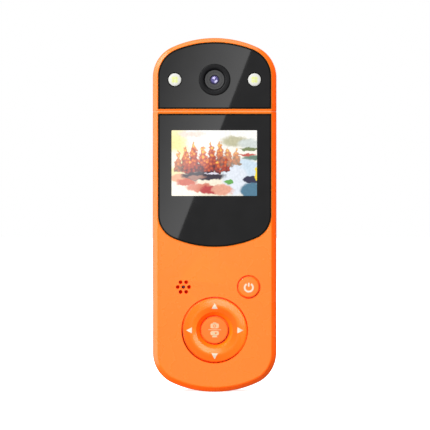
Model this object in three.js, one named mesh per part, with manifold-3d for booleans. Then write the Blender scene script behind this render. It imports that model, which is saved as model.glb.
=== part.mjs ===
// A pocket action camera with a head that turns, worn by the sprung clip on its back.
// Millimetres. X runs across, Y from front to back and Z up. Pieces are drawn with y = 0 in the middle
// of the case and z = 0 at its lowest point, and the exported group puts the clip's jaw at the origin.
import * as THREE from "three";
import { mergeVertices } from "three/addons/utils/BufferGeometryUtils.js";
import Module from "manifold-3d";

const wasm = await Module();
wasm.setup();

// ---- Driving dimensions ----------------------------------------------------------------------------
const WIDTH = 32;
const HEIGHT = 91.6;
const DEPTH = 14;
const CROWN = 26.6; // radius of the shallow arc that closes each end
const CORNER = 8.6; // radius of the arcs that join it to the sides
const EDGE = 1.3; // rounding of the front and back edges
const SIDE_WALL = 1.2;
const FRONT_WALL = 1.6;
const BACK_WALL = 1.4;
const END_WALL = 1.4; // the two walls that face each other at the swivel
const SEAM_Z = 72.55;
const SEAM_GAP = 0.3;
const SPLIT_GAP = 0.1; // between a front shell and its back shell
const LIP = { clear: 0.15, wall: 0.6, height: 0.9 }; // on the back shells, inside the front ones
const RUN = 0.3; // round a moving piece
const ROUND = 32; // sides of a large round piece
const ARC = 4; // half the steps that an arc of an outline is drawn with

const SWIVEL_RADIUS = 4; // outside of the hollow hub that joins the head to the body
const WINDOW_HALF = 14.56;
const WINDOW_DEPTH = 1;
const WINDOW_CROWN = 26.8;
const WINDOW_CORNER = 6.5;
const SCREEN_WINDOW = { low: 37.65, high: 71.9 };
const HEAD_WINDOW = { low: 73.25, high: 90.3 };
const DISPLAY = { width: 22.2, height: 17, z: 59.24 };
const OPTICS_Z = 80.7;
const LENS = { bezel: 4.1, barrel: 2.5, glass: 1.3 };
const LAMP = { x: 10.28, radius: 1.73 };
const NAV = { z: 16.06, radius: 8.24, bore: 3.76, switches: 6.5, crest: 0.8 };
const OK_RADIUS = 3.44;
const POWER = { x: 8.8, z: 27.2, radius: 2.68 };
const SOUND = { x: -8.07, z: 27.2, ring: 1.45, hole: 0.49 };
const CARD = { z: 38, y: -2.25, width: 11, length: 15, thickness: 1 };
const PORT = { z: 39.5, y: -3.1, width: 8.94, height: 3.26, depth: 7 };
const RESET = { z: 20, y: -2.25, hole: 0.65 };
const PIN = { y: 9.4, z: 58, radius: 0.75, knuckle: 1.75 };
const PAD = { low: -28, high: -16, front: -0.5 }; // from the pin, as the clip's own sizes are
const CLIP = { width: 13, hingeWidth: 11, back: 1.8, inner: 0.3, top: 9.5, low: -34.5, tooth: -2.05 };
const CASE_SCREWS = [
  ["case_screw_upper_left", -12.5, 46.5],
  ["case_screw_upper_right", 12.5, 46.5],
  ["case_screw_lower_left", -12.5, 11],
  ["case_screw_lower_right", 12.5, 11],
];
const HEAD_SCREWS = [
  ["head_screw_left", -13.1, 76.3],
  ["head_screw_right", 13.1, 76.3],
];
const CASE_SCREW = { head: 1.45, shank: 0.7, boss: 1.9, tip: -4 };
const HEAD_SCREW = { head: 1.1, shank: 0.5, boss: 1.5, tip: -3 };

const FRONT = -DEPTH / 2;
const BACK = DEPTH / 2;
const INNER_FRONT = FRONT + FRONT_WALL;
const INNER_BACK = BACK - BACK_WALL;
const BODY_TOP = SEAM_Z - SEAM_GAP / 2;
const HEAD_BOTTOM = SEAM_Z + SEAM_GAP / 2;
const BOARD = { half: 10.3, low: 6, high: 66, front: -1.4, back: -0.6 };
const HEAD_BOARD = { half: 11.3, low: 75.5, high: 86.4, front: -1.1, back: -0.3 };
const SWITCH_TOP = -2.6; // where the plungers of the switches end
const PLUNGER_TOP = -3.1; // where the stems of the keys end
const MOUNT_GAP = 0.05; // between a piece and what it is mounted on
const WINDOW_GAP = 0.26; // round a window, in its recess
const CARD_GAP = 0.15; // between the card and its socket
const SCREW_SEAT = BACK - 1.2; // the bottom of the counterbores in the back shells

// ---- Materials -------------------------------------------------------------------------------------
const finish = (color, roughness, metalness = 0) =>
  new THREE.MeshStandardMaterial({ color, roughness, metalness });
const materials = {
  orange: finish(0xfa7a1e, 0.3),
  window: finish(0x141414, 0.05),
  blackPlastic: finish(0x1c1c1e, 0.5),
  lensGlass: finish(0x2a2a55, 0.02),
  lampLens: finish(0xf6f6ee, 0.15),
  display: finish(0xd9c8a8, 0.2),
  steel: finish(0xb8bac0, 0.3, 1),
  darkSteel: finish(0x55575c, 0.35, 1),
  board: finish(0x1d5c36, 0.5),
  chip: finish(0x17181a, 0.6),
  foil: finish(0xb9bcc2, 0.4, 0.6),
  rubber: finish(0x222224, 0.85),
  flex: finish(0xb5651d, 0.45),
};

// ---- Shapes and solids -----------------------------------------------------------------------------
// A closed manifold solid from a geometry whose shared vertices are merged.
function solid(geometry) {
  geometry.deleteAttribute("normal");
  geometry.deleteAttribute("uv");
  const merged = mergeVertices(geometry, 1e-4);
  return new wasm.Manifold(
    new wasm.Mesh({
      numProp: 3,
      vertProperties: merged.attributes.position.array,
      triVerts: new Uint32Array(merged.index.array),
    }),
  );
}

function geometryOf(body) {
  const mesh = body.getMesh();
  const geometry = new THREE.BufferGeometry();
  geometry.setAttribute("position", new THREE.BufferAttribute(mesh.vertProperties, mesh.numProp));
  geometry.setIndex(new THREE.BufferAttribute(mesh.triVerts, 1));
  geometry.computeVertexNormals();
  return geometry;
}

const joined = (pieces) => pieces.reduce((all, piece) => all.add(piece));

function block(x0, x1, y0, y1, z0, z1) {
  const geometry = new THREE.BoxGeometry(x1 - x0, y1 - y0, z1 - z0);
  geometry.translate((x0 + x1) / 2, (y0 + y1) / 2, (z0 + z1) / 2);
  return solid(geometry);
}

// An outline in X and Z with a shallow dome at one end or at both.
function domedOutline({ half, low, high, crown, corner, lowDome = true, highDome = true }) {
  const across = half - corner;
  const rise = Math.sqrt((crown - corner) ** 2 - across ** 2);
  const turn = Math.atan2(across, rise);
  const depth = crown - rise;
  const down = Math.PI * 1.5;
  const up = Math.PI / 2;
  const shape = new THREE.Shape();
  if (lowDome) {
    shape.absarc(-across, low + depth, corner, Math.PI, down - turn);
    shape.absarc(0, low + crown, crown, down - turn, down + turn);
    shape.absarc(across, low + depth, corner, down + turn, Math.PI * 2);
  } else {
    shape.moveTo(-half, low);
    shape.lineTo(half, low);
  }
  if (highDome) {
    shape.absarc(across, high - depth, corner, 0, up - turn);
    shape.absarc(0, high - crown, crown, up - turn, up + turn);
    shape.absarc(-across, high - depth, corner, up + turn, Math.PI);
  } else {
    shape.lineTo(half, high);
    shape.lineTo(-half, high);
  }
  return shape;
}

// A shape drawn in X and Z, as a plate from y = front to y = back.
function plate(shape, front, back, rounding = 0) {
  const geometry = new THREE.ExtrudeGeometry(shape, {
    depth: back - front - 2 * rounding,
    bevelEnabled: rounding > 0,
    bevelThickness: rounding,
    bevelSize: rounding,
    bevelOffset: -rounding,
    bevelSegments: 3,
    curveSegments: ARC,
  });
  geometry.rotateX(Math.PI / 2);
  geometry.translate(0, back - rounding, 0);
  return solid(geometry);
}

// A shape drawn in Y and Z, as a bar from x = left to x = right.
function bar(shape, left, right) {
  const geometry = new THREE.ExtrudeGeometry(shape, {
    depth: right - left,
    bevelEnabled: false,
    curveSegments: ARC,
  });
  const turn = new THREE.Matrix4().makeBasis(
    new THREE.Vector3(0, 1, 0),
    new THREE.Vector3(0, 0, 1),
    new THREE.Vector3(1, 0, 0),
  );
  geometry.applyMatrix4(turn);
  geometry.translate(left, 0, 0);
  return solid(geometry);
}

// A profile of [radius, y] points turned round the Y axis.
function turned(profile, sides = ROUND) {
  const points = profile.map(([radius, y]) => new THREE.Vector2(radius, y));
  if (THREE.ShapeUtils.area(points) < 0) points.reverse();
  if (points[0].x > 0) points.push(points[0].clone());
  return solid(new THREE.LatheGeometry(points, sides));
}

const ring = (inner, outer, y0, y1, sides = ROUND) =>
  turned([[inner, y0], [outer, y0], [outer, y1], [inner, y1]], sides);

function rod(radius, y0, y1, sides = ROUND) {
  const geometry = new THREE.CylinderGeometry(radius, radius, y1 - y0, sides);
  geometry.translate(0, (y0 + y1) / 2, 0);
  return solid(geometry);
}

const alongZ = (body) => body.rotate([90, 0, 0]);
const alongX = (body) => body.rotate([0, 0, -90]);

// A slot with round ends, drawn in Y and Z with its long side along Z.
function slotShape(y, z, long, short) {
  const end = (long - short) / 2;
  const shape = new THREE.Shape();
  shape.absarc(y, z + end, short / 2, 0, Math.PI);
  shape.absarc(y, z - end, short / 2, Math.PI, Math.PI * 2);
  return shape;
}

function roundedRectangle(half, low, high, corner) {
  const shape = new THREE.Shape();
  shape.absarc(half - corner, low + corner, corner, -Math.PI / 2, 0);
  shape.absarc(half - corner, high - corner, corner, 0, Math.PI / 2);
  shape.absarc(corner - half, high - corner, corner, Math.PI / 2, Math.PI);
  shape.absarc(corner - half, low + corner, corner, Math.PI, Math.PI * 1.5);
  return shape;
}

// ---- The case --------------------------------------------------------------------------------------
const outlineInset = (inset) =>
  domedOutline({
    half: WIDTH / 2 - inset,
    low: inset,
    high: HEIGHT - inset,
    crown: CROWN - inset,
    corner: CORNER - inset,
  });
const caseSolid = plate(outlineInset(0), FRONT, BACK, EDGE);
const cavity = plate(outlineInset(SIDE_WALL), INNER_FRONT, INNER_BACK);
const frontHalf = (low, high) => block(-WIDTH, WIDTH, -DEPTH, -SPLIT_GAP / 2, low, high);
const backHalf = (low, high) => block(-WIDTH, WIDTH, SPLIT_GAP / 2, DEPTH, low, high);
const between = (low, high) => block(-WIDTH, WIDTH, -DEPTH, DEPTH, low, high);

const bodyCavity = cavity.intersect(between(0, BODY_TOP - END_WALL));
const headCavity = cavity.intersect(between(HEAD_BOTTOM + END_WALL, HEIGHT));
const hubHole = alongZ(rod(SWIVEL_RADIUS + RUN, SEAM_Z - 3, SEAM_Z + 3));
const roundHole = (radius, x, z, front, back, sides) =>
  rod(radius, front, back, sides).translate([x, 0, z]);

const screwPost = (screw, x, z, front, back) => rod(screw.boss, front, back, 16).translate([x, 0, z]);
const screwPilot = (screw, x, z) =>
  rod(screw.shank + RUN, screw.tip - 0.3, SPLIT_GAP, 12).translate([x, 0, z]);

// The way through a back shell for a screw: a clearance hole with a counterbore for its head.
function screwWay(screw, x, z) {
  const clearance = rod(screw.shank + RUN, 0, BACK + 1, 12);
  const counterbore = rod(screw.head + RUN, SCREW_SEAT, BACK + 1, 16);
  return clearance.add(counterbore).translate([x, 0, z]);
}

const frontPosts = (screw, places) =>
  joined(places.map(([, x, z]) => screwPost(screw, x, z, INNER_FRONT - 0.2, -SPLIT_GAP / 2)));

const backPosts = (screw, places) =>
  joined(places.map(([, x, z]) => screwPost(screw, x, z, SPLIT_GAP / 2, INNER_BACK + 0.2)));

// The rim of a back shell that stands inside its front shell and closes the parting line.
function lip(screw, places, low, high) {
  const inset = SIDE_WALL + LIP.clear;
  const foot = plate(outlineInset(SIDE_WALL - 0.2), SPLIT_GAP / 2, LIP.height);
  const rim = plate(outlineInset(inset), -LIP.height, LIP.height);
  const inside = plate(outlineInset(inset + LIP.wall), -DEPTH, DEPTH);
  const posts = places.map(([, x, z]) => rod(screw.boss + RUN, -DEPTH, DEPTH, 16).translate([x, 0, z]));
  return foot.add(rim).subtract(inside).subtract(joined(posts)).intersect(between(low, high));
}

function windowRecess(window, lowDome, highDome) {
  const outline = domedOutline({
    half: WINDOW_HALF,
    crown: WINDOW_CROWN,
    corner: WINDOW_CORNER,
    lowDome,
    highDome,
    ...window,
  });
  return plate(outline, FRONT - 1, FRONT + WINDOW_DEPTH);
}

function bodyFrontShell() {
  const soundHoles = [[0, 0]];
  for (let i = 0; i < 6; i++) {
    const angle = (i * Math.PI) / 3;
    soundHoles.push([SOUND.ring * Math.cos(angle), SOUND.ring * Math.sin(angle)]);
  }
  const glassOpening = roundedRectangle(
    DISPLAY.width / 2 + 1,
    DISPLAY.z - DISPLAY.height / 2 - 1,
    DISPLAY.z + DISPLAY.height / 2 + 1,
    0.5,
  );
  const cuts = [
    windowRecess(SCREEN_WINDOW, true, false),
    plate(glassOpening, FRONT, INNER_FRONT + 1),
    roundHole(NAV.radius + RUN, 0, NAV.z, FRONT - 1, INNER_FRONT + 1, 40),
    roundHole(POWER.radius + RUN, POWER.x, POWER.z, FRONT - 1, INNER_FRONT + 1, 24),
    ...soundHoles.map(([x, z]) =>
      roundHole(SOUND.hole, SOUND.x + x, SOUND.z + z, FRONT - 1, INNER_FRONT + 1, 8)),
    bar(slotShape(PORT.y, PORT.z, PORT.width + 0.6, PORT.height + 0.6), WIDTH / 2 - 2, WIDTH / 2 + 1),
    block(-WIDTH / 2 - 1, -WIDTH / 2 + 2, CARD.y - 0.9, CARD.y + 0.9, CARD.z - 6, CARD.z + 6),
    alongX(rod(RESET.hole, -WIDTH / 2 - 1, -WIDTH / 2 + 2, 10)).translate([0, RESET.y, RESET.z]),
    hubHole,
    ...CASE_SCREWS.map(([, x, z]) => screwPilot(CASE_SCREW, x, z)),
  ];
  return caseSolid
    .intersect(frontHalf(-1, BODY_TOP))
    .subtract(bodyCavity)
    .add(frontPosts(CASE_SCREW, CASE_SCREWS))
    .subtract(joined(cuts));
}

function bodyBackShell() {
  const cuts = [hubHole, ...CASE_SCREWS.map(([, x, z]) => screwWay(CASE_SCREW, x, z))];
  return caseSolid
    .intersect(backHalf(-1, BODY_TOP))
    .subtract(bodyCavity)
    .add(lip(CASE_SCREW, CASE_SCREWS, 0, BODY_TOP - END_WALL - RUN))
    .add(backPosts(CASE_SCREW, CASE_SCREWS))
    .subtract(joined(cuts));
}

function headFrontShell() {
  const cuts = [
    windowRecess(HEAD_WINDOW, false, true),
    roundHole(LENS.bezel + RUN, 0, OPTICS_Z, FRONT, INNER_FRONT + 1, ROUND),
    roundHole(LAMP.radius + 0.5, -LAMP.x, OPTICS_Z, FRONT, INNER_FRONT + 1, 20),
    roundHole(LAMP.radius + 0.5, LAMP.x, OPTICS_Z, FRONT, INNER_FRONT + 1, 20),
    hubHole,
    ...HEAD_SCREWS.map(([, x, z]) => screwPilot(HEAD_SCREW, x, z)),
  ];
  return caseSolid
    .intersect(frontHalf(HEAD_BOTTOM, HEIGHT + 1))
    .subtract(headCavity)
    .add(frontPosts(HEAD_SCREW, HEAD_SCREWS))
    .subtract(joined(cuts));
}

function headBackShell() {
  const cuts = [hubHole, ...HEAD_SCREWS.map(([, x, z]) => screwWay(HEAD_SCREW, x, z))];
  return caseSolid
    .intersect(backHalf(HEAD_BOTTOM, HEIGHT + 1))
    .subtract(headCavity)
    .add(lip(HEAD_SCREW, HEAD_SCREWS, HEAD_BOTTOM + END_WALL + RUN, HEIGHT))
    .add(backPosts(HEAD_SCREW, HEAD_SCREWS))
    .subtract(joined(cuts));
}

// A screw with its head at the bottom of its counterbore.
function screw(size) {
  const seat = SCREW_SEAT + MOUNT_GAP;
  return turned([[0, size.tip], [size.shank, size.tip + 0.4], [size.shank, seat], [size.head, seat],
    [size.head, seat + 0.6], [size.head - 0.3, seat + 0.8], [0, seat + 0.8]], 14);
}

// ---- Windows, display and optics -------------------------------------------------------------------
function windowPlate(window, lowDome, highDome) {
  const outline = domedOutline({
    half: WINDOW_HALF - WINDOW_GAP,
    crown: WINDOW_CROWN - WINDOW_GAP,
    corner: WINDOW_CORNER - WINDOW_GAP,
    low: window.low + WINDOW_GAP,
    high: window.high - WINDOW_GAP,
    lowDome,
    highDome,
  });
  return plate(outline, FRONT, FRONT + WINDOW_DEPTH - 0.1);
}

const screenWindow = () => windowPlate(SCREEN_WINDOW, true, false);

function headWindow() {
  const holes = [
    roundHole(LENS.bezel + RUN, 0, OPTICS_Z, FRONT - 1, FRONT + 2, ROUND),
    roundHole(LAMP.radius + 0.25, -LAMP.x, OPTICS_Z, FRONT - 1, FRONT + 2, 20),
    roundHole(LAMP.radius + 0.25, LAMP.x, OPTICS_Z, FRONT - 1, FRONT + 2, 20),
  ];
  return windowPlate(HEAD_WINDOW, false, true).subtract(joined(holes));
}

const displayPanel = () =>
  block(-DISPLAY.width / 2 - 0.7, DISPLAY.width / 2 + 0.7, -5.9, -5.1,
    DISPLAY.z - DISPLAY.height / 2 - 0.7, DISPLAY.z + DISPLAY.height / 2 + 0.7);
const displayFrame = () => block(-12.6, 12.6, -5, -3.7, 48.7, 69.1);
const displayFlex = () => block(-5, 5, -3.65, BOARD.front - MOUNT_GAP, 49.1, 49.3);

const lensBezel = () =>
  turned([[2.9, -5.6], [LENS.bezel, -5.6], [LENS.bezel, -7.1], [3.9, -7.25], [3.3, -7.25], [2.65, -6.7],
    [2.65, -6.3], [2.9, -6.2]]);
const lensBarrel = () =>
  turned([[1.45, -3.4], [LENS.barrel, -3.4], [LENS.barrel, -6.5], [2.4, -6.6], [2, -6.6], [1.45, -6.4]], 24);
const lensGlass = () =>
  turned([[0, -5.2], [LENS.glass, -5.2], [LENS.glass, -5.9], [0.7, -6.15], [0, -6.25]], 24);
const sensorHolder = () =>
  block(-4, 4, -3.3, -1.15, -4, 4).subtract(block(-3, 3, -2.5, -1, -3, 3)).subtract(rod(1.45, -4, -1));
const imageSensor = () => block(-2.6, 2.6, -1.8, -1.15, -2.2, 2.2);

// A round white lamp with its flange and its two leads down to the board.
function lamp() {
  const body = turned([[0, -4.2], [2, -4.2], [2, -4.9], [LAMP.radius, -4.9], [LAMP.radius, -6.9],
    [1.6, -7.05], [0, -7.1]], 20);
  const lead = (x) => block(x - 0.2, x + 0.2, -4.3, HEAD_BOARD.front - MOUNT_GAP, -0.2, 0.2);
  return joined([body, lead(-0.8), lead(0.8)]);
}

// ---- Keys and the switches under them --------------------------------------------------------------
const navRing = () => {
  const crest = FRONT - NAV.crest;
  return turned([[5.2, -4.4], [9.3, -4.4], [9.3, -5], [NAV.radius, -5], [NAV.radius, -7.05], [8, -7.35],
    [7.5, -7.5], [6.8, crest + 0.1], [6.2, crest], [5.6, crest + 0.14], [4.9, -7.35], [4.3, -6.93],
    [NAV.bore, -6.5], [NAV.bore, -5.4], [5.2, -5.4]], 40);
};

// The plate under the ring that passes each press on to one of four switches.
function navRocker() {
  const nubs = [0, 1, 2, 3].map((i) => {
    const angle = (i * Math.PI) / 2;
    const [x, z] = [NAV.switches * Math.cos(angle), NAV.switches * Math.sin(angle)];
    return rod(0.9, -3.5, -3, 12).translate([x, 0, z]);
  });
  return joined([ring(3, 8.8, -4, -3.3), ...nubs]);
}

const okButton = () =>
  turned([[0, PLUNGER_TOP], [2, PLUNGER_TOP], [2, -4.6], [4.8, -4.6], [4.8, -5.1], [OK_RADIUS, -5.1],
    [OK_RADIUS, -6.85], [3.2, -7.05], [2, -7.1], [0, -7.13]]);
const powerButton = () =>
  turned([[0, PLUNGER_TOP], [1.5, PLUNGER_TOP], [1.5, -4.4], [3.8, -4.4], [3.8, -5.05],
    [POWER.radius, -5.05], [POWER.radius, -7.12], [2.4, -7.34], [1.4, -7.4], [0, -7.42]], 24);
const tactSwitch = () =>
  block(-1.7, 1.7, -2.2, BOARD.front - MOUNT_GAP, -1.7, 1.7).add(rod(0.8, SWITCH_TOP, -2.1, 12));

// ---- Boards and what is on them --------------------------------------------------------------------
const mainBoard = () =>
  plate(roundedRectangle(BOARD.half, BOARD.low, BOARD.high, 2), BOARD.front, BOARD.back);
const headBoard = () =>
  plate(roundedRectangle(HEAD_BOARD.half, HEAD_BOARD.low, HEAD_BOARD.high, 1.5),
    HEAD_BOARD.front, HEAD_BOARD.back);
const chip = (half, z, height) =>
  block(-half, half, BOARD.front - height, BOARD.front - MOUNT_GAP, z - half, z + half);
const battery = () => plate(roundedRectangle(10.1, 8, 57, 1.5), 0.3, 5.2);
const microphone = () => block(5, 8.5, BOARD.front - 1, BOARD.front - MOUNT_GAP, 60, 62.6);
const speaker = () =>
  turned([[0, -3], [3.8, -3], [3.8, -5], [3.3, -5.3], [2.9, -5.1], [1.4, -4.9], [0, -5.1]], 24);
const cameraFlex = () => block(-1.8, 1.8, -0.1, 0.1, 62.1, 75.2);
const flexConnector = () => block(-3, 3, -0.55, 0.6, 59.6, 62);
const headConnector = () => block(-2.6, 2.6, -0.25, 0.8, 75.4, 77);

function portShell() {
  const outer = slotShape(PORT.y, PORT.z, PORT.width, PORT.height);
  const inner = slotShape(PORT.y, PORT.z, PORT.width - 0.6, PORT.height - 0.7);
  const mouth = WIDTH / 2 - 0.3;
  return bar(outer, mouth - PORT.depth, mouth).subtract(bar(inner, mouth - PORT.depth + 0.6, mouth + 1));
}

// The tongue of the port, on the block that closes the back of its shell.
function portTongue() {
  const deep = WIDTH / 2 - 0.3 - PORT.depth + 0.65;
  const tongue = block(deep, WIDTH / 2 - 1, PORT.y - 0.35, PORT.y + 0.35, PORT.z - 3.3, PORT.z + 3.3);
  return tongue.add(bar(slotShape(PORT.y, PORT.z, PORT.width - 0.9, PORT.height - 1), deep, deep + 0.8));
}

function cardSocket() {
  const mouth = -WIDTH / 2 + SIDE_WALL + 0.1;
  const half = CARD.width / 2 + 0.9;
  const outer = block(mouth, mouth + CARD.length, CARD.y - 0.8, CARD.y + 0.8, CARD.z - half, CARD.z + half);
  const space = block(mouth - 1, mouth + CARD.length - 0.9, CARD.y - 0.6, CARD.y + 0.6,
    CARD.z - CARD.width / 2 - CARD_GAP, CARD.z + CARD.width / 2 + CARD_GAP);
  return outer.subtract(space);
}

const memoryCard = () => {
  const edge = -WIDTH / 2 + 0.25;
  return block(edge, edge + CARD.length, CARD.y - CARD.thickness / 2, CARD.y + CARD.thickness / 2,
    CARD.z - CARD.width / 2, CARD.z + CARD.width / 2);
};

const resetButton = () =>
  alongX(turned([[0, -15.3], [0.4, -15.3], [0.4, -14.4], [0.8, -14.4], [0.8, -13.95], [0, -13.95]], 12));
const resetSwitch = () => block(-13.5, -11, -0.8, 0.8, -1.4, 1.4);

// ---- The swivel ------------------------------------------------------------------------------------
// The hollow hub: its flange lies inside the head and its groove takes the retaining ring in the body.
const swivelHub = () =>
  alongZ(turned([[2.5, 69.3], [3.8, 69.3], [SWIVEL_RADIUS, 69.6], [SWIVEL_RADIUS, 69.8], [3.4, 69.8],
    [3.4, 70.4], [SWIVEL_RADIUS, 70.4], [SWIVEL_RADIUS, 74.2], [5.2, 74.2], [5.2, 75], [2.5, 75]], 24));
const retainingRing = () => alongZ(ring(3.55, 5.2, 69.95, 70.25, 20));
const waveWasher = () => alongZ(ring(4.3, 5.2, 70.5, 70.8, 20));

// ---- The clip, drawn round its pin ------------------------------------------------------------------
function clipArm() {
  const side = new THREE.Shape();
  side.moveTo(CLIP.back, CLIP.top);
  side.lineTo(CLIP.back, CLIP.low + 3);
  side.quadraticCurveTo(CLIP.back, CLIP.low, CLIP.back - 2, CLIP.low);
  side.quadraticCurveTo(CLIP.tooth, CLIP.low, CLIP.tooth, CLIP.low + 2.2);
  side.quadraticCurveTo(CLIP.tooth, CLIP.low + 3.4, CLIP.inner, CLIP.low + 6);
  side.lineTo(CLIP.inner, CLIP.top);
  const wide = CLIP.width / 2;
  const narrow = CLIP.hingeWidth / 2;
  const face = new THREE.Shape();
  face.absarc(wide - 5, CLIP.low + 5, 5, -Math.PI / 2, 0);
  face.lineTo(wide, -10);
  face.lineTo(narrow, -7.5);
  face.absarc(narrow - 2, CLIP.top - 2, 2, 0, Math.PI / 2);
  face.absarc(2 - narrow, CLIP.top - 2, 2, Math.PI / 2, Math.PI);
  face.lineTo(-narrow, -7.5);
  face.lineTo(-wide, -10);
  face.absarc(5 - wide, CLIP.low + 5, 5, Math.PI, Math.PI * 1.5);
  const arm = bar(side, -wide, wide).intersect(plate(face, -5, 5));
  const knuckle = alongX(rod(PIN.knuckle, 3, narrow, 20));
  const pinHole = alongX(rod(PIN.radius + 0.1, -WIDTH, WIDTH, 20));
  return arm
    .add(knuckle)
    .add(knuckle.mirror([1, 0, 0]))
    .subtract(block(-2.9, 2.9, -5, 5, -2.6, 2.6))
    .subtract(pinHole);
}

function clipBracket() {
  const foot = BACK + MOUNT_GAP - PIN.y;
  const base = plate(roundedRectangle(8.2, -7, 3.5, 1.2), foot, foot + 1)
    .subtract(block(-5.8, 5.8, foot - 1, 0, -2.2, 2.2));
  const ear = alongX(rod(PIN.knuckle, 5.9, 7.6, 20))
    .add(block(5.9, 7.6, foot + 0.5, 0, -PIN.knuckle - 1, PIN.knuckle));
  const pinHole = alongX(rod(PIN.radius + 0.1, -WIDTH, WIDTH, 20));
  return joined([base, ear, ear.mirror([1, 0, 0])]).subtract(pinHole);
}

const clipPin = () =>
  alongX(turned([[0, -8.2], [1.2, -8.2], [1.2, -7.7], [PIN.radius, -7.7], [PIN.radius, 7.7], [1.2, 7.7],
    [1.2, 8.2], [0, 8.2]], 20));
const clipSpring = () =>
  alongX(ring(0.95, 1.45, -2.5, 2.5, 20))
    .add(block(-2.5, -2.05, -1.25, -0.85, -6, 0))
    .add(block(2.05, 2.5, -0.2, 0.2, -6, -1.2));
const clipPad = () => block(-4.5, 4.5, PAD.front, CLIP.inner - MOUNT_GAP, PAD.low, PAD.high);

// ---- The assembly ----------------------------------------------------------------------------------
const camera = new THREE.Group();
const body = new THREE.Group();
const head = new THREE.Group();
const clip = new THREE.Group();
clip.position.set(0, PIN.y, PIN.z);
camera.add(body, head, clip);

function add(group, name, piece, material, x = 0, y = 0, z = 0) {
  const mesh = new THREE.Mesh(geometryOf(piece), material);
  mesh.name = name;
  mesh.position.set(x, y, z);
  group.add(mesh);
}

add(body, "body_front_shell", bodyFrontShell(), materials.orange);
add(body, "body_back_shell", bodyBackShell(), materials.orange);
add(body, "screen_window", screenWindow(), materials.window);
add(body, "display_panel", displayPanel(), materials.display);
add(body, "display_frame", displayFrame(), materials.steel);
add(body, "display_flex", displayFlex(), materials.flex);
add(body, "main_board", mainBoard(), materials.board);
add(body, "processor_chip", chip(4, 54, 1.1), materials.chip);
add(body, "memory_chip", chip(2.6, 62.5, 0.9), materials.chip);
add(body, "microphone", microphone(), materials.steel);
add(body, "battery", battery(), materials.foil);
add(body, "speaker", speaker(), materials.darkSteel, SOUND.x, 0, SOUND.z);
add(body, "flex_connector", flexConnector(), materials.blackPlastic);
add(body, "camera_flex", cameraFlex(), materials.flex);
add(body, "usb_port_shell", portShell(), materials.steel);
add(body, "usb_port_tongue", portTongue(), materials.blackPlastic);
add(body, "card_socket", cardSocket(), materials.steel);
add(body, "memory_card", memoryCard(), materials.blackPlastic);
add(body, "reset_button", resetButton(), materials.blackPlastic, 0, RESET.y, RESET.z);
add(body, "reset_switch", resetSwitch(), materials.chip, 0, RESET.y, RESET.z);
add(body, "power_button", powerButton(), materials.orange, POWER.x, 0, POWER.z);
add(body, "power_switch", tactSwitch(), materials.chip, POWER.x, 0, POWER.z);
add(body, "nav_ring", navRing(), materials.orange, 0, 0, NAV.z);
add(body, "nav_rocker", navRocker(), materials.blackPlastic, 0, 0, NAV.z);
add(body, "ok_button", okButton(), materials.orange, 0, 0, NAV.z);
add(body, "ok_switch", tactSwitch(), materials.chip, 0, 0, NAV.z);
for (const [side, x, z] of [["right", 1, 0], ["up", 0, 1], ["left", -1, 0], ["down", 0, -1]]) {
  const [switchX, switchZ] = [x * NAV.switches, NAV.z + z * NAV.switches];
  add(body, "nav_switch_" + side, tactSwitch(), materials.chip, switchX, 0, switchZ);
}
for (const [name, x, z] of CASE_SCREWS) add(body, name, screw(CASE_SCREW), materials.darkSteel, x, 0, z);
add(body, "wave_washer", waveWasher(), materials.steel);

add(head, "head_front_shell", headFrontShell(), materials.orange);
add(head, "head_back_shell", headBackShell(), materials.orange);
add(head, "head_window", headWindow(), materials.window);
add(head, "lens_bezel", lensBezel(), materials.blackPlastic, 0, 0, OPTICS_Z);
add(head, "lens_barrel", lensBarrel(), materials.darkSteel, 0, 0, OPTICS_Z);
add(head, "lens_glass", lensGlass(), materials.lensGlass, 0, 0, OPTICS_Z);
add(head, "sensor_holder", sensorHolder(), materials.blackPlastic, 0, 0, OPTICS_Z);
add(head, "image_sensor", imageSensor(), materials.chip, 0, 0, OPTICS_Z);
add(head, "head_board", headBoard(), materials.board);
add(head, "head_connector", headConnector(), materials.blackPlastic);
add(head, "lamp_left", lamp(), materials.lampLens, -LAMP.x, 0, OPTICS_Z);
add(head, "lamp_right", lamp(), materials.lampLens, LAMP.x, 0, OPTICS_Z);
for (const [name, x, z] of HEAD_SCREWS) add(head, name, screw(HEAD_SCREW), materials.darkSteel, x, 0, z);
add(head, "swivel_hub", swivelHub(), materials.blackPlastic);
add(head, "swivel_retaining_ring", retainingRing(), materials.steel);

add(clip, "clip_bracket", clipBracket(), materials.blackPlastic);
add(clip, "clip_arm", clipArm(), materials.blackPlastic);
add(clip, "clip_pad", clipPad(), materials.rubber);
add(clip, "clip_pin", clipPin(), materials.steel);
add(clip, "clip_spring", clipSpring(), materials.steel);

// The origin lies in the clip's jaw, midway between the back of the case and the middle of the pad.
camera.position.y = -(BACK + PIN.y + PAD.front) / 2;
camera.position.z = -PIN.z - (PAD.low + PAD.high) / 2;

export default camera;
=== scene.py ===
from math import atan2, cos, hypot, pi, radians, sin, sqrt, tau

import bmesh
import bpy
from mathutils import Matrix, Vector
from mathutils.geometry import tessellate_polygon


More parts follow.
